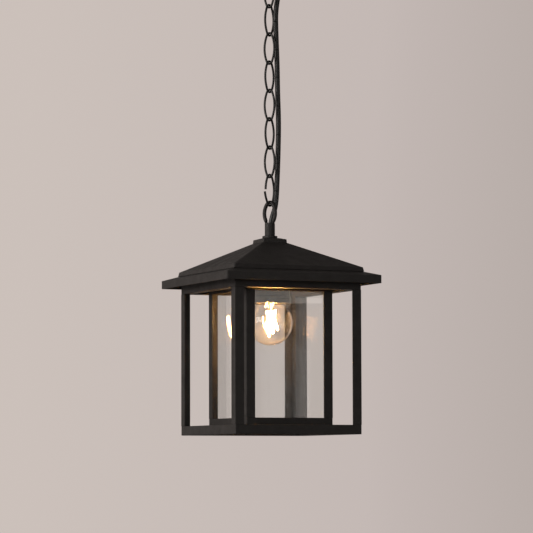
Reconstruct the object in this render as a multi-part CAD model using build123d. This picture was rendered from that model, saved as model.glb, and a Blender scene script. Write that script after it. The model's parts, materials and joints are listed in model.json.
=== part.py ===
# Hanging lantern: square glass lantern under a hipped roof, on a link chain with a ceiling canopy.
# Millimetres, +Z up. The origin is the centre of the ceiling bracket's top face, and the lantern hangs
# below it. X and Y run square to the lantern's faces. Each lantern part is drawn from the lantern's own
# foot (z = 0 at the underside of the outer bottom frame) and then lowered to where it hangs.
from build123d import *
from math import cos, pi, radians, sin, tan
import os

os.makedirs("parts", exist_ok=True)

# ---------------------------------------------------------------- driving dimensions
# Angle-section frames
outer_side = 136.0        # outer frame, across the flats
inner_side = 93.4         # glass frame, across the flats
leg = 9.3                 # leg of every angle section
wall = 1.5                # wall of every angle section
edge_round = 0.5          # rounding of the frames' outer corners
foot_round = 1.2          # rounding of the frames' plan corners
top_frame_z = 142.4       # underside of the outer top frame
inner_foot_z = 7.1        # underside of the inner bottom frame
inner_top_z = 141.3       # underside of the inner top frame
plate_z = 151.8           # underside of the lamp plate, on which both top frames are held
outer_screw_inset = 5.4   # screws of the outer top frame, in from its face
inner_screw_inset = 6.6

# Roof
sheet = 1.2               # thickness of the roof's sheet metal
brim_side = 167.0
brim_foot_z = 148.5
brim_edge_z = 156.4       # top of the upright skirt
lip_foot_z = 160.1
lip_top_z = 164.6
lip_foot_side = 141.6
lip_top_side = 139.8
cap_side = 26.3
cap_foot_z = 191.4
cap_edge_z = 194.9
collar_z = 196.3
collar_height = 2.3
collar_diameter = 15.2

# Suspension loop: an oval ring on a hollow stem
stem_diameter = 10.2
stem_bore = 6.4
stem_top_z = 211.5
stem_foot_z = 181.0
ring_wire = 3.8
ring_width = 18.0
ring_height = 26.0
ring_crown = 4.5          # radius of the ring's two ends, at the wire's centre
ring_top_z = 234.4

# Chain
link_wire = 2.2
link_width = 15.0
link_pitch = 28.65
link_crown = 3.6          # radius of a link's two ends, at the wire's centre
link_play = 0.3           # free gap between two touching wires
link_count = 8
link_turn = 25.0          # plan angle of the even links, the odd ones stand square to them
seam_gap = 0.25           # butt joint in the side of a link
open_gap = 1.6            # gap of the last link, which is opened to take the loop
open_spring = 1.1         # how far the opened end springs outwards

# Ceiling side
hook_z = -52.0            # centre of the hook's wire at its lowest point
hook_wire = 4.0
hook_radius = 7.5
hook_bend = 318           # degrees of the hook's circle, the rest is its mouth
shank_diameter = 6.0
canopy_diameter = 100.0
canopy_depth = 26.0
canopy_wall = 1.0
canopy_corner = 6.0       # rounding of the canopy's lower edge
bracket_length = 88.0
bracket_width = 20.0
bracket_thick = 1.5
bracket_holes = 70.0      # spacing of the two ceiling screws
bracket_hole = 5.0

# Supply cord, round section
cord_diameter = 5.2
cord_turn = -24.0         # plan angle of the side on which the cord hangs beside the chain

# Lamp and lampholder, Edison screw 27
bulb_radius = 22.5
bulb_z = 111.4            # centre of the glass ball
holder_diameter = 42.0
holder_foot_z = 131.0
holder_top_z = 172.5
screw_radius = 13.0       # crest radius of the lamp cap's thread
screw_pitch = 3.63

# Glass
pane = 2.0
pane_play = 0.1

# ---------------------------------------------------------------- heights along the chain
link_step = link_wire + link_play                  # rise from a wire to the one that rides on it
link_length = link_pitch + link_step               # between the two crown centres of one link
hook_step = (hook_wire + link_wire) / 2 + link_play
ring_step = (ring_wire + link_wire) / 2 + link_play
first_pivot_z = hook_z + hook_step - link_length
pivot_z = [hook_z] + [first_pivot_z - link_pitch * k for k in range(link_count)]
base_z = pivot_z[-1] + ring_step + ring_wire / 2 - ring_top_z


def link_angle(k):
    """Plan angle of link k, counted from the hook, which is number 0 and stands as the even links do."""
    return link_turn if k % 2 == 0 else link_turn - 90


def lowered(shape):
    """Moves a part drawn from the lantern's foot to where it hangs."""
    return Pos(0, 0, base_z) * shape


def save(shape, name):
    """Writes one node."""
    shape.label = name
    export_step(shape, f"parts/{name}.step")


def group(shapes):
    """Several separate solids as one node."""
    return Compound(children=list(shapes))


# ---------------------------------------------------------------- shared shapes
upright = Plane(origin=(0, 0, 0), x_dir=(1, 0, 0), z_dir=(0, -1, 0))


def square(side, z, corner):
    """Plan square with rounded corners at a height."""
    return Pos(0, 0, z) * RectangleRounded(side, side, corner)


def frustum(side0, z0, side1, z1, corner0, corner1):
    """Square body between two heights, its faces straight between them."""
    return loft([square(side0, z0, corner0), square(side1, z1, corner1)], ruled=True)


def tube_ring(radius, inner, z0, z1):
    """Round tube with a vertical axis."""
    return Pos(0, 0, (z0 + z1) / 2) * (Cylinder(radius, z1 - z0) - Cylinder(inner, z1 - z0))


def oval_side(half_width, half_height, crown):
    """Radius of an oval's long side arcs, and the point where they meet its end arc."""
    rise = half_height - crown
    radius = (half_width ** 2 + rise ** 2 - crown ** 2) / (2 * (half_width - crown))
    share = crown / (radius - crown)
    return radius, (radius - half_width) * share, rise * (1 + share)


def oval_ring(width, height, wire, crown):
    """Closed upright ring of round wire: an oval of four arcs, given by its outer width and height."""
    a = (width - wire) / 2
    b = (height - wire) / 2
    radius, x, z = oval_side(a, b, crown)
    oval = [
        ThreePointArc((x, -z), (a, 0), (x, z)),
        ThreePointArc((x, z), (0, b), (-x, z)),
        ThreePointArc((-x, z), (-a, 0), (-x, -z)),
        ThreePointArc((-x, -z), (0, -b), (x, -z)),
    ]
    path = upright * Wire(oval)
    return sweep(Plane(origin=path @ 0, z_dir=path % 0) * Circle(wire / 2), path=path)


# ---------------------------------------------------------------- ceiling side
def make_bracket():
    """Steel strap that is screwed to the ceiling, with two end holes and a tapped middle hole."""
    body = Pos(0, 0, -bracket_thick / 2) * Box(bracket_length, bracket_width, bracket_thick)
    body = fillet(body.edges().filter_by(Axis.Z), bracket_width / 4)
    for x in (-bracket_holes / 2, bracket_holes / 2):
        body -= Pos(x, 0, 0) * Cylinder(bracket_hole / 2, 4 * bracket_thick)
    body -= Cylinder(shank_diameter / 2 + 0.05, 4 * bracket_thick)
    return body


def make_canopy():
    """Round drawn cup that covers the ceiling outlet."""
    radius = canopy_diameter / 2
    cup = Pos(0, 0, -canopy_depth / 2) * Cylinder(radius, canopy_depth)
    cup = fillet(cup.edges().group_by(Axis.Z)[0], canopy_corner)
    hollow_depth = canopy_depth - canopy_wall
    inside = Pos(0, 0, -hollow_depth / 2) * Cylinder(radius - canopy_wall, hollow_depth)
    cup -= fillet(inside.edges().group_by(Axis.Z)[0], canopy_corner - canopy_wall)
    cup -= Pos(0, 0, -canopy_depth) * Cylinder(shank_diameter / 2 + 0.3, 8)
    cup -= Pos(*cord_point(*cord_route[0][:2], -canopy_depth)) * Cylinder(grip_neck, 8)
    return cup


def make_hook():
    """Round-wire hook with a threaded shank. Its tip stops short of the shank and leaves a mouth."""
    centre_z = hook_z + hook_radius
    path = Pos(0, 0, centre_z) * (upright * CenterArc((0, 0), hook_radius, 90, -hook_bend))
    start = path @ 0
    hook = sweep(Plane(origin=start, z_dir=path % 0) * Circle(hook_wire / 2), path=path)
    hook += Pos(*(path @ 1)) * Sphere(hook_wire / 2)
    shank_foot = centre_z + hook_radius - hook_wire / 2
    shank_top = -0.4
    shank_length = shank_top - shank_foot
    hook += Pos(0, 0, shank_foot + shank_length / 2) * Cylinder(shank_diameter / 2, shank_length)
    hook += Pos(0, 0, shank_foot + 0.6) * Cylinder(shank_diameter / 2 + 1.2, 1.6)
    return Rot(0, 0, link_angle(0)) * hook


def make_canopy_nut():
    """Round ring nut on the shank, which lifts the canopy against the ceiling."""
    radius, height, flutes = 6.6, 5.0, 24
    nut = Cylinder(radius, height)
    nut = chamfer(nut.edges().group_by(Axis.Z)[0], 0.8)
    flute = Pos(radius + 0.2, 0, 0) * Cylinder(0.6, 2 * height)
    for k in range(flutes):
        nut -= Rot(0, 0, 360 / flutes * k) * flute
    nut -= Cylinder(shank_diameter / 2 + 0.05, 2 * height)
    return Pos(0, 0, -canopy_depth - height / 2) * nut


def hex_nut(across, height, bore, z):
    """Hexagon nut on the vertical axis, its foot at z."""
    body = extrude(Pos(0, 0, z) * RegularPolygon(across / 2, 6, major_radius=False), height)
    return body - Pos(0, 0, z + height / 2) * Cylinder(bore / 2, 2 * height)


def make_cord_grip():
    """Moulded bush that holds the cord in the canopy's floor: a flange below, a neck and a collar above."""
    flange, collar = 2.5, 4.2
    bush = Pos(0, 0, -flange / 2) * Cylinder(grip_neck + 2.2, flange)
    bush = fillet(bush.edges().group_by(Axis.Z)[0], 1.0)
    bush += Pos(0, 0, 1.5) * Cylinder(grip_neck - 0.1, 8)
    bush += Pos(0, 0, canopy_wall + 1.3 + collar / 2) * Cylinder(grip_neck + 1.2, collar)
    bush -= Cylinder(cord_diameter / 2 + 0.02, 30)
    return Pos(*cord_point(*cord_route[0][:2], -canopy_depth)) * bush


def make_terminal_block():
    """Three-way screw connector on the underside of the bracket."""
    length, width, height, pole_pitch = 27.0, 15.0, 11.0, 9.0
    place_x = -24.0
    block = Pos(0, 0, -height / 2) * Box(length, width, height)
    block = fillet(block.edges().filter_by(Axis.Z), 1.5)
    for k in (-1, 0, 1):
        wire_way = Rot(90, 0, 0) * Cylinder(1.7, 2 * width)
        block -= Pos(pole_pitch * k, 0, -height / 2) * wire_way
        for side in (-1, 1):
            block -= Pos(pole_pitch * k, 3.8 * side, -height) * Cylinder(1.6, height)
    return Pos(place_x, 0, -bracket_thick - 0.02) * block


# ---------------------------------------------------------------- chain
def make_link(k):
    """Link k: oval ring of wire with a butt joint in one side. The last one is sprung open there."""
    if k < link_count:
        ring = oval_ring(link_width, link_length + link_wire, link_wire, link_crown)
        side = (link_width - link_wire) / 2
        seam = Box(2 * link_wire, 2 * link_wire, seam_gap)
        ring -= Pos(-side if k % 2 else side, 0, 0) * seam
    else:
        ring = make_open_link()
    middle_z = pivot_z[k] + link_length / 2
    return Pos(0, 0, middle_z) * Rot(0, 0, link_angle(k)) * ring


def make_open_link():
    """Opened link: the lower half of one side is bent out and stops short of the upper half."""
    a = (link_width - link_wire) / 2
    b = link_length / 2
    radius, x, z = oval_side(a, b, link_crown)

    def side_x(height):
        """How far out the side arc is at a height above the link's middle."""
        return (radius ** 2 - height ** 2) ** 0.5 - radius + a

    end = open_gap / 3
    half_way = (end + z) / 2
    outline = [
        ThreePointArc((-side_x(end), end), (-side_x(half_way), half_way), (-x, z)),
        ThreePointArc((-x, z), (0, b), (x, z)),
        ThreePointArc((x, z), (a, 0), (x, -z)),
        ThreePointArc((x, -z), (0, -b), (-x, -z)),
        Spline((-x, -z), (-a - open_spring, -open_gap), tangents=[(-z, x + radius - a), (-0.12, 1)]),
    ]
    path = upright * Wire(outline)
    return sweep(Plane(origin=path @ 0, z_dir=path % 0) * Circle(link_wire / 2), path=path)


# ---------------------------------------------------------------- supply cord
grip_neck = 4.6
# Route beside the chain as (outwards, backwards, height), turned to the cord's side
cord_route = [
    (13.4, 1.8, -canopy_depth + 6),
    (13.4, 1.8, pivot_z[0] + hook_step),
    (6.2, 1.0, pivot_z[1]),
    (6.7, 0.6, pivot_z[2]),
    (7.8, 1.0, pivot_z[3]),
    (8.1, 0.6, pivot_z[4]),
    (9.1, 1.0, pivot_z[5]),
    (8.6, 0.7, pivot_z[6]),
    (7.6, 1.2, pivot_z[7]),
    (6.2, 1.5, pivot_z[8]),
    (2.3, 0.8, pivot_z[8] - 11.4),
    (0.0, 0.0, pivot_z[8] - 23.5),
    (0.0, 0.0, base_z + 184.5),
]


def cord_point(out, back, z):
    """A point of the route in the lantern's own axes."""
    a = radians(cord_turn)
    return (out * cos(a) - back * sin(a), out * sin(a) + back * cos(a), z)


def midway(a, b):
    """The point halfway between two points."""
    return (a + b) * 0.5


def cord_pieces():
    """The cord's route cut halfway down each link, so that each piece crosses one pivot of the chain."""
    points = [Vector(*cord_point(*p)) for p in cord_route]
    cuts = [midway(points[k], points[k + 1]) for k in range(1, link_count + 1)]
    first = [points[0], points[1], cuts[0]]
    between = [[cuts[k - 1], points[k + 1], cuts[k]] for k in range(1, link_count)]
    last = [cuts[-1]] + points[link_count + 1:]
    return [first] + between + [last]


def corner_radius(points, k):
    """As large an arc as the shorter of the two runs at a corner allows."""
    before = points[k] - points[k - 1]
    after = points[k + 1] - points[k]
    turn = radians(before.get_angle(after))
    return 0.45 * min(before.length, after.length) / tan(turn / 2)


def make_cord(points, number):
    """Round tube along one piece of the route."""
    radii = [corner_radius(points, k) for k in range(1, len(points) - 1)]
    path = FilletPolyline(*points, radius=radii)
    start = Plane(origin=points[0], z_dir=points[1] - points[0])
    tube = sweep(start * Circle(cord_diameter / 2), path=path)
    share = tube.volume / (pi * cord_diameter ** 2 / 4 * path.length)
    rounded = [round(r) for r in radii]
    print(f"cord {number}: length {path.length:.1f}, radii {rounded}, volume share {share:.4f}")
    return tube, path.length


# ---------------------------------------------------------------- frames
def angle_frame(side, z):
    """Square frame welded from four mitred angle sections, the flange below and turned inwards."""
    body = extrude(square(side, z, foot_round), leg)
    body = fillet(body.edges().group_by(Axis.Z)[0] + body.edges().group_by(Axis.Z)[-1], edge_round)
    body -= extrude(square(side - 2 * leg, z - 1, 1), leg + 2)
    return body - extrude(square(side - 2 * wall, z + wall, 0.6), leg)


def angle_post(side, z0, z1, turn):
    """Angle section standing in a corner of a frame, its corner outwards."""
    h = side / 2
    outer = leg - h
    inner = wall - h
    corners = [(-h, -h), (outer, -h), (outer, inner), (inner, inner), (inner, outer), (-h, outer)]
    profile = Polyline(*corners, close=True)
    post = extrude(Pos(0, 0, z0) * make_face(profile), z1 - z0)
    upright_edges = post.edges().filter_by(Axis.Z).sort_by(lambda e: e.center().X + e.center().Y)
    post = fillet(upright_edges[0], edge_round)
    return Rot(0, 0, turn) * post


# The four corners, named as seen from the front (-Y) with the roof up
corner_turns = {"front_left": 0, "front_right": 90, "back_right": 180, "back_left": 270}


def top_frame_holes(side, z):
    """Places of the two screws in each rail's flange, those of the glass frame clear of its panes."""
    r = side / 2 - (outer_screw_inset if side == outer_side else inner_screw_inset)
    places = []
    for turn in (0, 90, 180, 270):
        for along in (-side / 4, side / 4):
            places.append(Rot(0, 0, turn) * Pos(along, -r, z))
    return places


# ---------------------------------------------------------------- glass
def make_pane(name):
    """One sheet of glass behind the inner posts. The front and back ones cover the ends of the others."""
    outside = inner_side / 2 - wall - pane_play
    z0 = inner_foot_z + wall + pane_play
    z1 = plate_z - wall - 0.4
    half = outside if name in ("front", "back") else outside - pane - pane_play
    glass = Pos(0, -outside + pane / 2, (z0 + z1) / 2) * Box(2 * half, pane, z1 - z0)
    glass = chamfer(glass.edges(), 0.25)
    return Rot(0, 0, {"front": 0, "right": 90, "back": 180, "left": 270}[name]) * glass


def make_clip():
    """Small bent tab on the bottom flange that keeps a pane against its frame."""
    inside = inner_side / 2 - wall - 2 * pane_play - pane
    foot_z = inner_foot_z + wall + 0.02
    foot = Pos(0, -inside + 2.2, foot_z + 0.35) * Box(9, 4.4, 0.7)
    stand = Pos(0, -inside + 0.4, foot_z + 3.2) * Box(9, 0.7, 6.4)
    return foot + stand


# ---------------------------------------------------------------- roof
def make_roof_brim():
    """Lower roof tray: an upright skirt and a shallow slope up to the lip, open in the middle."""
    slope = (lip_foot_z - brim_edge_z) / ((brim_side - lip_foot_side) / 2)
    inward = 5.0
    top_side = lip_foot_side - 2 * inward
    top_z = lip_foot_z + slope * inward
    body = frustum(brim_side, brim_foot_z, brim_side, brim_edge_z, 2.4, 2.4)
    body += frustum(brim_side, brim_edge_z, top_side, top_z, 2.4, 1.6)
    inner = brim_side - 2 * sheet
    hollow = frustum(inner, brim_foot_z, inner, brim_edge_z - sheet, 1.2, 1.2)
    hollow += frustum(inner, brim_edge_z - sheet, top_side - 2 * sheet, top_z - sheet, 1.2, 1.2)
    hollow += frustum(top_side - 2 * sheet, top_z - 2 * sheet, top_side - 2 * sheet, top_z + 2, 1.2, 1.2)
    body -= hollow
    return body


def make_roof_shell():
    """Upper roof: four slopes from a low upright lip to a flat top with a hole for the stem."""
    slope = (cap_foot_z - lip_top_z) / ((lip_top_side - cap_side) / 2)
    body = frustum(lip_foot_side, lip_foot_z + 0.4, lip_top_side, lip_top_z, 2.2, 2.2)
    body += frustum(lip_top_side, lip_top_z, cap_side, cap_foot_z, 2.2, 1.0)
    drop = sheet * (1 + slope ** 2) ** 0.5
    inner = lip_top_side - 2 * sheet
    hollow = frustum(lip_foot_side - 2 * sheet, lip_foot_z, inner, lip_top_z - drop, 1.2, 1.2)
    hollow += frustum(inner, lip_top_z - drop, cap_side, cap_foot_z - drop - sheet, 1.2, 0.6)
    body -= hollow
    return body - Pos(0, 0, cap_foot_z) * Cylinder(stem_diameter / 2 + 0.1, 12)


def make_top_cap():
    """Square cast cap on the roof's flat top, its upper face rising to the collar."""
    body = frustum(cap_side, cap_foot_z, cap_side - 0.6, cap_edge_z, 1.2, 1.2)
    body += frustum(cap_side - 0.6, cap_edge_z, collar_diameter, collar_z, 1.2, 1.2)
    return body - Pos(0, 0, cap_edge_z) * Cylinder(stem_diameter / 2 + 0.02, 12)


def make_collar():
    """Round collar between the cap and the loop's stem."""
    body = Pos(0, 0, collar_z + collar_height / 2) * Cylinder(collar_diameter / 2, collar_height)
    body = fillet(body.edges().filter_by(GeomType.CIRCLE), 0.6)
    return body - Pos(0, 0, collar_z) * Cylinder(stem_diameter / 2 + 0.02, 12)


def make_loop():
    """Oval ring on a hollow threaded stem. The stem's bore opens inside the ring for the cord."""
    ring_middle = ring_top_z - ring_height / 2
    ring = oval_ring(ring_width, ring_height, ring_wire, ring_crown)
    loop = Pos(0, 0, ring_middle) * Rot(0, 0, link_turn - 90) * ring
    stem_length = stem_top_z - stem_foot_z
    loop += Pos(0, 0, stem_foot_z + stem_length / 2) * Cylinder(stem_diameter / 2, stem_length)
    loop -= Pos(0, 0, stem_foot_z + stem_length / 2) * Cylinder(stem_bore / 2, stem_length + 2)
    mouth = Cone(stem_bore / 2, stem_diameter / 2 + 0.1, 7)
    return loop - Pos(0, 0, stem_top_z - 0.5) * mouth


def make_lamp_plate():
    """Flat plate inside the brim that carries both top frames and the lamp bracket."""
    side = brim_side - 2 * sheet - 0.4
    plate = extrude(square(side, plate_z, 1.0), wall)
    plate -= Pos(0, 0, plate_z) * Cylinder(holder_diameter / 2 + 1.2, 8)
    return plate


# ---------------------------------------------------------------- lampholder and lamp
bracket_foot_z = plate_z + wall


def make_lamp_bracket():
    """Bent strap over the lampholder: two feet on the lamp plate, two uprights and a level top."""
    half, foot, width = 27.0, 36.0, 18.0
    low = bracket_foot_z + 0.02
    top = holder_top_z + wall + 0.02
    outline = [
        (foot, low), (half, low), (half, top - wall), (-half, top - wall), (-half, low), (-foot, low),
        (-foot, low + wall), (-half - wall, low + wall), (-half - wall, top), (half + wall, top),
        (half + wall, low + wall), (foot, low + wall),
    ]
    side_view = upright * make_face(Polyline(*outline, close=True))
    strap = Pos(0, width / 2, 0) * extrude(side_view, width)
    strap -= Pos(0, 0, top) * Cylinder(5.2, 12)
    for x in (-holder_screw_x, holder_screw_x):
        strap -= Pos(x, 0, top) * Cylinder(1.6, 12)
    for x in (-bracket_screw_x, bracket_screw_x):
        strap -= Pos(x, 0, low) * Cylinder(1.6, 6)
    return strap


def make_holder_shell():
    """Moulded lampholder: a cup with a rim at its mouth and a closed top."""
    r = holder_diameter / 2
    z0, z1 = holder_foot_z, holder_top_z
    outline = Polyline(
        (r - 2.4, z0), (r - 0.5, z0), (r, z0 + 0.5), (r, z0 + 6), (r - 1.2, z0 + 7.2), (r - 1.2, z1 - 8),
        (r - 4, z1), (5, z1), (5, z1 - 2.5), (r - 5.5, z1 - 2.5), (r - 5.5, z0 + 9), (r - 2.4, z0 + 6),
        close=True,
    )
    shell = revolve(Plane.XZ * make_face(outline), Axis.Z)
    for x in (-holder_screw_x, holder_screw_x):
        shell -= Pos(x, 0, z1) * Cylinder(1.3, 8)
    return shell


def make_holder_insert():
    """Metal sleeve of the lampholder, its rolled grooves standing clear of the lamp's thread."""
    inner = screw_radius + 0.45
    z0, z1 = holder_foot_z + 9.4, holder_top_z - 5.54
    sleeve = tube_ring(inner + 0.9, inner, z0, z1)
    rolls = int((z1 - z0) / screw_pitch) - 1
    for k in range(rolls):
        z = z0 + screw_pitch * (k + 1)
        sleeve += Pos(0, 0, z) * Torus(inner + 0.75, 0.75)
    return sleeve


def make_holder_contacts():
    """Ceramic disc in the top of the lampholder with the sprung middle contact and the side contact."""
    z1 = holder_top_z - 2.52
    disc = Pos(0, 0, z1 - 1.5) * Cylinder(holder_diameter / 2 - 5.7, 3.0)
    disc -= Pos(0, 0, z1) * Cylinder(2.0, 12)
    tongue = Pos(0, 0, z1 - 3.35) * Cylinder(4.0, 0.7) + Pos(0, 0, z1 - 1.5) * Cylinder(1.9, 3.2)
    side = Pos(0, screw_radius - 1.8, z1 - 3.35) * Box(4.5, 4.0, 0.6)
    return group([disc, tongue, side])


def make_lead_wires():
    """Two insulated cores from the cord's end down to the lampholder."""
    wires = []
    for side in (-1, 1):
        points = [
            Vector(side * 1.3, 0, 184.4), Vector(side * 1.3, 0.3, 181), Vector(side * 1.7, 0, 177),
            Vector(side * 1.9, 0.2, holder_top_z + 0.5), Vector(side * 2.4, 0, holder_top_z - 1.9),
        ]
        radii = [corner_radius(points, k) for k in range(1, len(points) - 1)]
        path = FilletPolyline(*points, radius=radii)
        start = Plane(origin=points[0], z_dir=points[1] - points[0])
        wires.append(sweep(start * Circle(1.0), path=path))
    return group(wires)


bulb_contact_z = holder_top_z - 2.52 - 3.75 - 0.05   # top of the lamp's solder contact
cap_rim_z = bulb_contact_z - 25.5                     # open edge of the lamp's metal cap


def bulb_curve(shrink):
    """Half outline of the glass ball and its neck, from the foot on the axis to the neck's rim."""
    r = bulb_radius - shrink
    neck = 12.3 - shrink
    leave = radians(29)
    ball_end = (r * cos(leave), bulb_z + r * sin(leave))
    below = radians(25)
    ball = ThreePointArc((0, bulb_z - r), (r * cos(below), bulb_z - r * sin(below)), ball_end)
    shoulder = Spline(ball_end, (neck, cap_rim_z - 1), tangents=[(-sin(leave), cos(leave)), (0, 1)])
    return ball, shoulder, neck


def make_bulb_envelope():
    """Clear glass ball, hollow, with a neck that is cemented into the cap."""
    thick = 0.7
    outer_ball, outer_shoulder, outer_neck = bulb_curve(0)
    inner_ball, inner_shoulder, inner_neck = bulb_curve(thick)
    rim = cap_rim_z + 4
    outline = [
        outer_ball, outer_shoulder, Line((outer_neck, cap_rim_z - 1), (outer_neck, rim)),
        Line((outer_neck, rim), (inner_neck, rim)), Line((inner_neck, rim), (inner_neck, cap_rim_z - 1)),
        inner_shoulder, inner_ball, Line((0, bulb_z - bulb_radius + thick), (0, bulb_z - bulb_radius)),
    ]
    return revolve(Plane.XZ * make_face(Wire(outline)), Axis.Z)


def make_bulb_cap():
    """Screw cap of the lamp: a metal sleeve with four rolled threads, closed by an insulating button."""
    crest, root = screw_radius, screw_radius - 0.9
    z0, z1 = cap_rim_z, bulb_contact_z - 2.4
    thread_z = z0 + 2.4
    outline = [Line((12.36, z0), (root + 0.5, z0)), Line((root + 0.5, z0), (root, thread_z))]
    for k in range(4):
        z = thread_z + screw_pitch * k
        outline.append(ThreePointArc((root, z), (crest, z + screw_pitch / 2), (root, z + screw_pitch)))
    inside = [
        (root, thread_z + 4 * screw_pitch), (root, z1 - 3), (6.5, z1), (3.5, z1 + 1.0), (0, z1 + 1.0),
        (0, z1 - 1.5), (5.5, z1 - 1.5), (root - 0.9, z1 - 4), (root - 0.9, z0 + 4.6), (12.36, z0 + 4.2),
        (12.36, z0),
    ]
    outline += Polyline(*inside).edges()
    return revolve(Plane.XZ * make_face(outline), Axis.Z)


def make_bulb_contact():
    """Solder contact on the end of the cap."""
    z0 = bulb_contact_z - 1.38
    button = Pos(0, 0, z0 + 0.69) * Cylinder(3.4, 1.38)
    return fillet(button.edges().group_by(Axis.Z)[-1], 0.6)


stem_tip_z = bulb_z + 17.5
filament_radius = 0.9
# Ends of the filament rods, from the centre of the glass ball
filament_ends = [
    ((-5.1, -6.5, 11.8), (-2.1, -4.6, -9.4)),
    ((5.0, -1.1, 13.2), (3.1, -0.3, -9.9)),
    ((3.1, 1.9, 12.4), (8.7, 0.5, -6.9)),
    ((-1.1, 4.9, 12.2), (0.3, 3.1, -13.4)),
]


def make_bulb_stem():
    """Glass mount inside the lamp: a flared foot in the neck and a thin rod that holds the filaments."""
    rim_z = cap_rim_z + 2
    outline = Polyline(
        (0, stem_tip_z), (1.4, stem_tip_z), (1.4, rim_z - 12), (2.6, rim_z - 6), (11.2, rim_z),
        (11.2, rim_z + 0.8), (2.0, rim_z - 3), (0, rim_z - 3), close=True,
    )
    return revolve(Plane.XZ * make_face(outline), Axis.Z)


def make_filaments():
    """Four straight filament rods that lean in turn, each given by its upper and its lower end."""
    rods = []
    for top, low in filament_ends:
        start = Vector(*top) + Vector(0, 0, bulb_z)
        along = Vector(*low) + Vector(0, 0, bulb_z) - start
        rod = Cylinder(filament_radius, along.length)
        rods.append(Plane(origin=start, z_dir=along) * Pos(0, 0, along.length / 2) * rod)
    return group(rods)


# ---------------------------------------------------------------- screws
def pan_screw(radius, length):
    """Pan-head screw pointing up, its head's bearing face at z = 0."""
    head = Pos(0, 0, -0.8) * Cylinder(radius * 1.85, 1.6)
    head = fillet(head.edges().group_by(Axis.Z)[0], 0.7)
    slot = Box(4 * radius, 0.6, 1.2)
    screw = head - Pos(0, 0, -1.6) * slot - Pos(0, 0, -1.6) * Rot(0, 0, 90) * slot
    return screw + Pos(0, 0, length / 2 - 0.1) * Cylinder(radius, length + 0.2)


holder_screw_x = 11.0
bracket_screw_x = 32.5
screw_radius_m3 = 1.45
sink_depth = 1.25         # depth of a flat screw's head


def sink(play):
    """Cone of a flat screw's head, its wide face at z = 0."""
    return Pos(0, 0, sink_depth / 2) * Cone(2.7 + play, screw_radius_m3 + play, sink_depth)


def make_frame_screws():
    """Long flat-head screws that hold the outer top frame up to the lamp plate."""
    length = plate_z + wall + 1.5 - top_frame_z
    slot = Pos(0, 0, 0.2) * Box(3.4, 0.6, 1.0)
    screw = sink(0) + Pos(0, 0, length / 2 + 0.1) * Cylinder(screw_radius_m3, length - 0.2)
    screw -= slot + Rot(0, 0, 90) * slot
    return group([p * screw for p in top_frame_holes(outer_side, top_frame_z)])


def make_panel_screws():
    """Short screws of the inner top frame, the lamp bracket's feet and the lampholder."""
    below = Rot(180, 0, 0)
    short = pan_screw(screw_radius_m3, 2 * wall + 1.2)
    screws = [p * short for p in top_frame_holes(inner_side, plate_z - wall)]
    for x in (-bracket_screw_x, bracket_screw_x):
        screws.append(Pos(x, 0, bracket_foot_z + wall + 0.02) * below * short)
    for x in (-holder_screw_x, holder_screw_x):
        screws.append(Pos(x, 0, holder_top_z + wall + 0.02) * below * pan_screw(1.25, wall + 2.2))
    return group(screws)


def drilled(frame, places, radius):
    """Frame or plate with its screw holes."""
    for place in places:
        frame -= place * Cylinder(radius, 8)
    return frame


# ---------------------------------------------------------------- nodes
def ceiling_nodes():
    """Everything that stays on the ceiling."""
    return {
        "mounting_bracket": make_bracket(),
        "ceiling_canopy": make_canopy(),
        "canopy_hook": make_hook(),
        "canopy_nut": make_canopy_nut(),
        "hook_locknut": hex_nut(10, 4, shank_diameter + 0.1, -bracket_thick - 4.02),
        "cord_grip": make_cord_grip(),
        "terminal_block": make_terminal_block(),
    }


def chain_nodes():
    """The chain's links from the hook down."""
    return {f"chain_link_{k}": make_link(k) for k in range(1, link_count + 1)}


def cord_nodes():
    """The supply cord, a piece for each pivot of the chain."""
    nodes = {}
    total = 0
    for number, piece in enumerate(cord_pieces(), 1):
        nodes[f"supply_cord_{number}"], length = make_cord(piece, number)
        total += length
    print(f"cord in all: {total:.0f}")
    return nodes


def make_outer_top_frame():
    """Upper outer frame, its flange below, with countersunk screw holes."""
    places = top_frame_holes(outer_side, top_frame_z)
    frame = drilled(angle_frame(outer_side, top_frame_z), places, 1.6)
    for place in places:
        frame -= place * sink(0.05)
    return frame


def make_inner_top_frame():
    """Upper frame of the glass, its flange above, against the lamp plate."""
    height = plate_z - inner_top_z
    body = extrude(square(inner_side, inner_top_z, foot_round), height)
    body = fillet(body.edges().group_by(Axis.Z)[0], edge_round)
    body -= extrude(square(inner_side - 2 * leg, inner_top_z - 1, 1), height + 2)
    body -= extrude(square(inner_side - 2 * wall, inner_top_z - 1, 0.6), height + 1 - wall)
    return drilled(body, top_frame_holes(inner_side, plate_z), 1.6)


def frame_nodes():
    """Outer frame, glass frame, panes and clips."""
    quarter_turns = (0, 90, 180, 270)
    clip = make_clip()
    clips = [Rot(0, 0, t) * Pos(x, 0, 0) * clip for t in quarter_turns for x in (-25, 25)]
    nodes = {
        "outer_bottom_frame": angle_frame(outer_side, 0),
        "outer_top_frame": make_outer_top_frame(),
        "inner_bottom_frame": angle_frame(inner_side, inner_foot_z),
        "inner_top_frame": make_inner_top_frame(),
        "glass_clips": group(clips),
        "frame_screws": make_frame_screws(),
        "panel_screws": make_panel_screws(),
    }
    for name, turn in corner_turns.items():
        nodes[f"outer_post_{name}"] = angle_post(outer_side, leg, top_frame_z, turn)
        nodes[f"inner_post_{name}"] = angle_post(inner_side, inner_foot_z + leg, inner_top_z, turn)
    for name in ("front", "right", "back", "left"):
        nodes[f"glass_{name}"] = make_pane(name)
    return nodes


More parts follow.
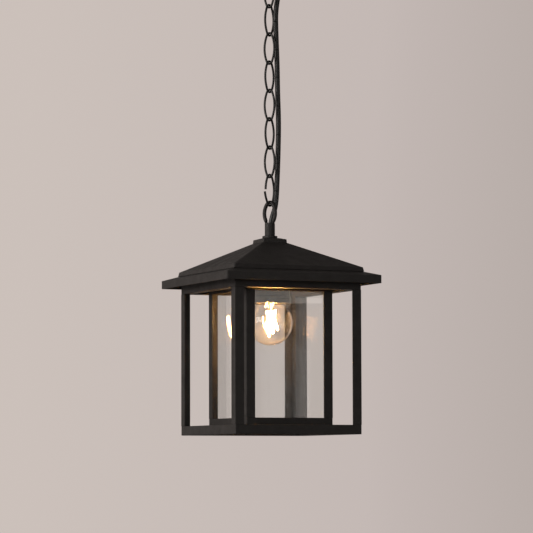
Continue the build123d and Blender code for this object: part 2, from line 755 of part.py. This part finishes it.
def roof_nodes():
    """Roof, loop, lampholder and what holds them together."""
    plate = drilled(make_lamp_plate(), top_frame_holes(outer_side, plate_z), 1.6)
    plate = drilled(plate, top_frame_holes(inner_side, plate_z), 1.6)
    plate = drilled(plate, [Pos(x, 0, plate_z) for x in (-bracket_screw_x, bracket_screw_x)], 1.6)
    return {
        "suspension_loop": make_loop(),
        "loop_collar": make_collar(),
        "top_cap": make_top_cap(),
        "roof_shell": make_roof_shell(),
        "roof_brim": make_roof_brim(),
        "lamp_plate": plate,
        "loop_locknut": hex_nut(17, 4, stem_diameter + 0.04, cap_foot_z - 7.2),
        "lamp_bracket": make_lamp_bracket(),
        "lampholder_shell": make_holder_shell(),
        "lampholder_insert": make_holder_insert(),
        "lampholder_contacts": make_holder_contacts(),
        "lead_wires": make_lead_wires(),
    }


def bulb_nodes():
    """The lamp."""
    return {
        "bulb_envelope": make_bulb_envelope(),
        "bulb_cap": make_bulb_cap(),
        "bulb_contact": make_bulb_contact(),
        "bulb_stem": make_bulb_stem(),
        "bulb_filaments": make_filaments(),
    }


for name, shape in {**ceiling_nodes(), **chain_nodes(), **cord_nodes()}.items():
    save(shape, name)
for name, shape in {**frame_nodes(), **roof_nodes(), **bulb_nodes()}.items():
    save(lowered(shape), name)
print(f"lantern's foot hangs at {base_z:.1f}, pivots at {[round(z, 2) for z in pivot_z]}")
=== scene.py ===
# Looks and scene of the hanging lantern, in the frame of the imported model: metres, +Z up, ceiling at z = 0.
import json
from math import cos, pi, radians, sin

import bpy
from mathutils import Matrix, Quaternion, Vector


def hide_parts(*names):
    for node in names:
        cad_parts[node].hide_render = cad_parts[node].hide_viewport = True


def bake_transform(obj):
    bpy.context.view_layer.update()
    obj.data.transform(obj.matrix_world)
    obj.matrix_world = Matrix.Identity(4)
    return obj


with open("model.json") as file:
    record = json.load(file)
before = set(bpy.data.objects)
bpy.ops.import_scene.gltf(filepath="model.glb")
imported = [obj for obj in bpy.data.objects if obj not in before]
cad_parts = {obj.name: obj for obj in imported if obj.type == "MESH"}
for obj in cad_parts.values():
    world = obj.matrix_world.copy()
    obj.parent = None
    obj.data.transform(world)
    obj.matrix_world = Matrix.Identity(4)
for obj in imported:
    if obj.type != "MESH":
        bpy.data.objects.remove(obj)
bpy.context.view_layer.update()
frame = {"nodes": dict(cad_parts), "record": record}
scene = bpy.context.scene
scene.view_settings.view_transform = "Standard"

mm = 0.001
base_z = -509.5 * mm      # the lantern's foot
hook_z = -52.0 * mm
first_pivot_z = -79.75 * mm
link_pitch = 28.65 * mm
link_count = 8
pivots = [hook_z] + [first_pivot_z - link_pitch * k for k in range(link_count)]

# ---------------------------------------------------------------- camera
turn = radians(24.35)
pitch = radians(4.23)
roll = radians(0.15)
distance = 2743 * mm
eye_below_foot = 34.7 * mm
lantern_right = 3.46 * mm
focal = 2750.7
frame_pixels = 533

camera = bpy.data.objects.new("camera", bpy.data.cameras.new("camera"))
scene.collection.objects.link(camera)
camera.data.sensor_width = 36
camera.data.lens = focal * camera.data.sensor_width / frame_pixels
camera.data.clip_start = 0.1
camera.data.clip_end = 60
ahead = Vector((sin(turn), cos(turn), 0))
left = Vector((-cos(turn), sin(turn), 0))
camera.location = -distance * ahead + lantern_right * left + Vector((0, 0, base_z - eye_below_foot))
aim = cos(pitch) * ahead + Vector((0, 0, sin(pitch)))
camera.rotation_mode = "QUATERNION"
camera.rotation_quaternion = aim.to_track_quat("-Z", "Y") @ Quaternion((0, 0, 1), -roll)
scene.camera = camera


# ---------------------------------------------------------------- node helpers
def add(tree, kind, inputs=None, **settings):
    """A node with its settings and inputs; an input is a value or another node's output."""
    made = tree.nodes.new(kind)
    for key, value in settings.items():
        setattr(made, key, value)
    for key, value in (inputs or {}).items():
        if isinstance(value, bpy.types.NodeSocket):
            tree.links.new(value, made.inputs[key])
        else:
            made.inputs[key].default_value = value
    return made


def new_material(name):
    """An empty material and its node tree."""
    made = bpy.data.materials.new(name)
    made.use_nodes = True
    made.node_tree.nodes.clear()
    return made, made.node_tree


def noise(tree, scale, detail=3.0, rough=0.55, stretch=None):
    """Noise in the object's own metres; scale is in cells per metre."""
    place = add(tree, "ShaderNodeTexCoord").outputs["Object"]
    if stretch:
        place = add(tree, "ShaderNodeMapping", {"Vector": place, "Scale": stretch}).outputs["Vector"]
    return add(tree, "ShaderNodeTexNoise",
               {"Vector": place, "Scale": scale, "Detail": detail, "Roughness": rough}).outputs["Fac"]


def spread(tree, value, low, high, start=0.3, end=0.7):
    """Value mapped from start..end to low..high."""
    ranges = {"Value": value, "From Min": start, "From Max": end, "To Min": low, "To Max": high}
    return add(tree, "ShaderNodeMapRange", ranges).outputs["Result"]


def blend_colour(tree, factor, one, two):
    """Colour between two, by a factor; each of the three is a value or another node's output."""
    made = add(tree, "ShaderNodeMix", data_type="RGBA")
    for socket, value in ((made.inputs[0], factor), (made.inputs[6], one), (made.inputs[7], two)):
        if isinstance(value, bpy.types.NodeSocket):
            tree.links.new(value, socket)
        else:
            socket.default_value = value
    return made.outputs[2]


def out(tree, shader):
    """Make a shader the surface of its material."""
    add(tree, "ShaderNodeOutputMaterial", {"Surface": shader})


def finish(name, dark, light, grain, height, rough, metallic=0.0, patch=30.0, stretch=None, specular=0.5):
    """A solid finish: colour that drifts in patches and with the grain, uneven gloss, and a fine relief."""
    made, tree = new_material(name)
    fine = noise(tree, grain, 3.0, 0.6, stretch)
    broad = noise(tree, patch, 4.0, 0.6)
    pores = add(tree, "ShaderNodeTexVoronoi",
                {"Vector": add(tree, "ShaderNodeTexCoord").outputs["Object"], "Scale": grain * 0.8})
    shares = {0: spread(tree, fine, 0, 0.6), 1: spread(tree, broad, 0, 0.4)}
    tone = add(tree, "ShaderNodeMath", shares, operation="ADD")
    relief = add(tree, "ShaderNodeMath", {0: fine, 1: pores.outputs["Distance"]}, operation="ADD")
    bump = add(tree, "ShaderNodeBump", {"Height": relief.outputs[0], "Distance": height, "Strength": 1.0})
    shader = add(tree, "ShaderNodeBsdfPrincipled", {
        "Base Color": blend_colour(tree, tone.outputs[0], (*dark, 1), (*light, 1)),
        "Roughness": spread(tree, noise(tree, patch * 3, 3.0), rough[0], rough[1]),
        "Metallic": metallic,
        "Specular IOR Level": specular,
        "Normal": bump.outputs["Normal"],
    })
    out(tree, shader.outputs["BSDF"])
    return made


def mirror_share(tree, head_on):
    """How much a clear surface mirrors, the same from both of its sides."""
    facing = add(tree, "ShaderNodeLayerWeight", {"Blend": 0.5}).outputs["Facing"]
    grazing = add(tree, "ShaderNodeMath", {0: facing, 1: 5.0}, operation="POWER").outputs[0]
    return spread(tree, grazing, head_on, 1.0, 0.0, 1.0)


def clear_glass(name, tint, head_on, haze, smudge, rough):
    """Thin clear glass: what is behind it shows through, mirrored light grows towards grazing angles."""
    made, tree = new_material(name)
    film = spread(tree, noise(tree, smudge, 5.0, 0.6), 0.0, haze, 0.45, 0.8)
    through = add(tree, "ShaderNodeBsdfTransparent", {"Color": (*tint, 1)})
    mirror = add(tree, "ShaderNodeBsdfGlossy", {"Color": (1, 1, 1, 1), "Roughness": rough})
    dust = add(tree, "ShaderNodeBsdfDiffuse", {"Color": (0.7, 0.68, 0.65, 1)})
    pane = add(tree, "ShaderNodeMixShader",
               {0: mirror_share(tree, head_on), 1: through.outputs[0], 2: mirror.outputs[0]})
    both = add(tree, "ShaderNodeMixShader", {0: film, 1: pane.outputs[0], 2: dust.outputs[0]})
    out(tree, both.outputs[0])
    return made


def glowing(name, core, rim, strength):
    """Coated filament rod: phosphor with a slightly uneven glow along it."""
    made, tree = new_material(name)
    grains = spread(tree, noise(tree, 900.0), 0.0, 1.0)
    shader = add(tree, "ShaderNodeBsdfPrincipled", {
        "Base Color": (0.8, 0.55, 0.2, 1),
        "Roughness": 0.5,
        "Emission Color": blend_colour(tree, grains, (*core, 1), (*rim, 1)),
        "Emission Strength": strength,
    })
    out(tree, shader.outputs["BSDF"])
    return made


# Each finish: dark and light tone, grain per metre, relief, and the range of roughness
materials = {
    "black_powder_coat": finish("black_powder_coat", (0.0146, 0.0122, 0.0113), (0.034, 0.0292, 0.0272),
                                1100.0, 0.16 * mm, (0.5, 0.66)),
    "chain_paint": finish("chain_paint", (0.008, 0.0076, 0.0072), (0.02, 0.0192, 0.0185),
                          1500.0, 0.05 * mm, (0.34, 0.5)),
    "cord_sheath": finish("cord_sheath", (0.007, 0.007, 0.0068), (0.014, 0.0135, 0.013),
                          700.0, 0.04 * mm, (0.36, 0.48), stretch=(1.0, 1.0, 0.12)),
    "black_plastic": finish("black_plastic", (0.014, 0.014, 0.014), (0.026, 0.025, 0.025),
                            1600.0, 0.05 * mm, (0.38, 0.5)),
    "white_plastic": finish("white_plastic", (0.66, 0.64, 0.6), (0.8, 0.79, 0.76),
                            1400.0, 0.03 * mm, (0.35, 0.5)),
    "zinc_steel": finish("zinc_steel", (0.42, 0.42, 0.44), (0.64, 0.64, 0.66),
                         900.0, 0.03 * mm, (0.28, 0.45), metallic=1.0, patch=140.0),
    "black_screws": finish("black_screws", (0.02, 0.02, 0.022), (0.05, 0.05, 0.052),
                           1500.0, 0.03 * mm, (0.3, 0.45), metallic=0.6),
    "lamp_cap": finish("lamp_cap", (0.62, 0.59, 0.53), (0.82, 0.79, 0.72),
                       800.0, 0.02 * mm, (0.2, 0.34), metallic=1.0, patch=90.0),
    "solder": finish("solder", (0.4, 0.4, 0.39), (0.6, 0.6, 0.58),
                     900.0, 0.05 * mm, (0.3, 0.5), metallic=1.0),
    "holder_brass": finish("holder_brass", (0.5, 0.36, 0.13), (0.74, 0.56, 0.26),
                           700.0, 0.03 * mm, (0.26, 0.42), metallic=1.0, patch=80.0),
    "core_insulation": finish("core_insulation", (0.13, 0.055, 0.02), (0.2, 0.09, 0.035),
                              900.0, 0.03 * mm, (0.35, 0.5)),
    "pane_glass": clear_glass("pane_glass", (0.993, 0.995, 0.99), 0.05, 0.008, 45.0, 0.004),
    "bulb_glass": clear_glass("bulb_glass", (0.995, 0.985, 0.965), 0.04, 0.05, 90.0, 0.06),
    "filament": glowing("filament", (1.0, 0.56, 0.2), (1.0, 0.48, 0.15), 300.0),
}
for part in frame["record"]["subparts"]:
    shown = frame["nodes"][part["node"]]
    shown.data.materials.clear()
    shown.data.materials.append(materials[part["material_slot"]])


# ---------------------------------------------------------------- supply cord
cord_radius = 2.6 * mm
hook_step = 3.4 * mm
cord_turn = radians(-24)
# Route beside the chain as (outwards, backwards, height)
route = [
    (13.4, 1.8, -20.0),
    (13.4, 1.8, hook_z / mm + hook_step / mm),
    (6.2, 1.0, pivots[1] / mm),
    (6.7, 0.6, pivots[2] / mm),
    (7.8, 1.0, pivots[3] / mm),
    (8.1, 0.6, pivots[4] / mm),
    (9.1, 1.0, pivots[5] / mm),
    (8.6, 0.7, pivots[6] / mm),
    (7.6, 1.2, pivots[7] / mm),
    (6.2, 1.5, pivots[8] / mm),
    (2.3, 0.8, pivots[8] / mm - 11.4),
    (0.0, 0.0, pivots[8] / mm - 23.5),
    (0.0, 0.0, base_z / mm + 184.5),
]


def route_point(outwards, backwards, height):
    """A point of the route in the frame's axes, in metres."""
    x = outwards * cos(cord_turn) - backwards * sin(cord_turn)
    y = outwards * sin(cord_turn) + backwards * cos(cord_turn)
    return Vector((x, y, height)) * mm


def spline_points(name, points, fineness):
    """The smooth line of a NURBS spline with these control points."""
    data = bpy.data.curves.new(name, "CURVE")
    data.dimensions = "3D"
    data.resolution_u = fineness
    line = data.splines.new("NURBS")
    line.points.add(len(points) - 1)
    for point, place in zip(line.points, points):
        point.co = (*place, 1)
    line.order_u = 3
    line.use_endpoint_u = True
    holder = bpy.data.objects.new(name, data)
    mesh = bpy.data.meshes.new_from_object(holder)
    found = [v.co.copy() for v in mesh.vertices]
    bpy.data.objects.remove(holder)
    bpy.data.meshes.remove(mesh)
    return found


def at_height(line, z):
    """The point where a falling line passes a height."""
    for a, b in zip(line, line[1:]):
        if a.z >= z >= b.z:
            return a.lerp(b, (a.z - z) / (a.z - b.z))
    return line[-1].copy()


def stretch_between(line, high, low):
    """The part of a falling line between two heights, with its ends cut exactly there."""
    clear = 0.1 * mm
    inside = [p for p in line if low + clear < p.z < high - clear]
    return [at_height(line, high)] + inside + [at_height(line, low)]


def tube(name, points, radii, sides, material):
    """Closed round tube along points, with its own radius at each."""
    vertices, faces = [], []
    across = None
    for k, point in enumerate(points):
        before = points[max(k - 1, 0)]
        after = points[min(k + 1, len(points) - 1)]
        along = (after - before).normalized()
        across = along.orthogonal() if across is None else across - across.dot(along) * along
        across.normalize()
        beside = along.cross(across)
        for s in range(sides):
            a = 2 * pi * s / sides
            vertices.append(point + radii[k] * (cos(a) * across + sin(a) * beside))
    for k in range(len(points) - 1):
        for s in range(sides):
            t = (s + 1) % sides
            faces.append((k * sides + s, k * sides + t, (k + 1) * sides + t, (k + 1) * sides + s))
    faces.append(tuple(reversed(range(sides))))
    faces.append(tuple(range((len(points) - 1) * sides, len(points) * sides)))
    mesh = bpy.data.meshes.new(name)
    mesh.from_pydata(vertices, [], faces)
    mesh.materials.append(material)
    for face in mesh.polygons:
        face.use_smooth = len(face.vertices) == 4
    made = bpy.data.objects.new(name, mesh)
    scene.collection.objects.link(made)
    return made


# Each piece runs a little thinner into the next, so that no gap opens between them
spigot = 3.6 * mm
spigot_start = 0.05 * mm
spigot_play = 0.15 * mm
line_fineness = 20
tube_sides = 28
cord_controls = [route_point(*p) for p in route]
cord_line = spline_points("cord_route", cord_controls, line_fineness)
cut_heights = [(cord_controls[k].z + cord_controls[k + 1].z) / 2 for k in range(1, link_count + 1)]
piece_ends = [cord_controls[0].z] + cut_heights + [cord_controls[-1].z]
for k in range(link_count + 1):
    high, low = piece_ends[k], piece_ends[k + 1]
    path = stretch_between(cord_line, high, low)
    radii = [cord_radius] * len(path)
    if k < link_count:
        inner = stretch_between(cord_line, low - spigot_start, low - spigot)
        path += inner
        radii += [cord_radius - spigot_play] * len(inner)
    piece = tube(f"cord_{k + 1}", path, radii, tube_sides, materials["cord_sheath"])
    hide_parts(f"supply_cord_{k + 1}")
    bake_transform(piece)


# ---------------------------------------------------------------- surroundings
def pale_floor():
    """Plain pale floor: evenly pale where it is seen, and lending little light to the lantern above."""
    made, tree = new_material("pale_floor")
    clouds = spread(tree, noise(tree, 0.8, 4.0), 0.0, 1.0)
    pale = blend_colour(tree, clouds, (0.49, 0.432, 0.402, 1), (0.53, 0.469, 0.438, 1))
    seen_tone = add(tree, "ShaderNodeEmission", {"Color": pale, "Strength": 1.0})
    lit_tone = add(tree, "ShaderNodeBsdfDiffuse", {"Color": pale})
    direct = add(tree, "ShaderNodeLightPath").outputs["Is Camera Ray"]
    both = add(tree, "ShaderNodeMixShader", {0: direct, 1: lit_tone.outputs[0], 2: seen_tone.outputs[0]})
    out(tree, both.outputs[0])
    return made


def soft_light(name, place, target, width, height, power, colour):
    """Rectangular soft light that faces a target."""
    data = bpy.data.lights.new(name, "AREA")
    data.shape = "RECTANGLE"
    data.size, data.size_y = width, height
    data.energy = power
    data.color = colour
    lamp = bpy.data.objects.new(name, data)
    scene.collection.objects.link(lamp)
    lamp.location = place
    lamp.rotation_mode = "QUATERNION"
    lamp.rotation_quaternion = (Vector(target) - Vector(place)).to_track_quat("-Z", "Y")


heart = (0, 0, base_z + 0.1)
soft_light("window_left", (-2.6, -0.2, 0.6), heart, 1.8, 1.8, 45, (1.0, 0.95, 0.9))
# Its lower edge ends the pale reflection in the top of the front pane
soft_light("fill_front", (1.48, -3.28, 0.33), heart, 1.6, 1.0, 4.6, (1.0, 0.94, 0.86))
soft_light("fill_low", (-0.7, -3.2, -0.3), heart, 1.5, 1.1, 9.0, (1.0, 0.97, 0.95))

floor_half = 9.0
floor_z = -3.4
floor_signs = [(-1, -1), (1, -1), (1, 1), (-1, 1)]
floor_corners = [(floor_half * x, floor_half * y, floor_z) for x, y in floor_signs]
floor_mesh = bpy.data.meshes.new("floor")
floor_mesh.from_pydata(floor_corners, [], [(0, 1, 2, 3)])
floor_mesh.materials.append(pale_floor())
floor = bpy.data.objects.new("floor", floor_mesh)
scene.collection.objects.link(floor)

world = bpy.data.worlds.new("studio")
scene.world = world
world.use_nodes = True
sky = world.node_tree
sky.nodes.clear()
direction = add(sky, "ShaderNodeTexCoord").outputs["Generated"]
split = add(sky, "ShaderNodeSeparateXYZ", {"Vector": direction})
# Seen directly it is a plain pale wall, a little darker to the right
near_side = spread(sky, split.outputs["X"], 0.0, 1.0, 0.33, 0.457)
far_side = spread(sky, split.outputs["X"], 0.0, 1.0, 0.445, 0.50)
wall_left = blend_colour(sky, near_side, (0.600, 0.530, 0.493, 1), (0.546, 0.479, 0.456, 1))
wall = blend_colour(sky, far_side, wall_left, (0.475, 0.418, 0.392, 1))
# What it lends as light: the pale wall behind the lantern, a darker room in front of it and above
room_side = spread(sky, split.outputs["Y"], 0.0, 1.0, -0.35, 0.55)
room_around = blend_colour(sky, room_side, (0.08, 0.075, 0.072, 1), (0.50, 0.44, 0.41, 1))
room_height = spread(sky, split.outputs["Z"], 0.0, 1.0, 0.1, 0.7)
room = blend_colour(sky, room_height, room_around, (0.05, 0.047, 0.045, 1))
seen = add(sky, "ShaderNodeLightPath").outputs["Is Camera Ray"]
shade = add(sky, "ShaderNodeBackground", {"Color": blend_colour(sky, seen, room, wall), "Strength": 1.0})
add(sky, "ShaderNodeOutputWorld", {"Surface": shade.outputs["Background"]})
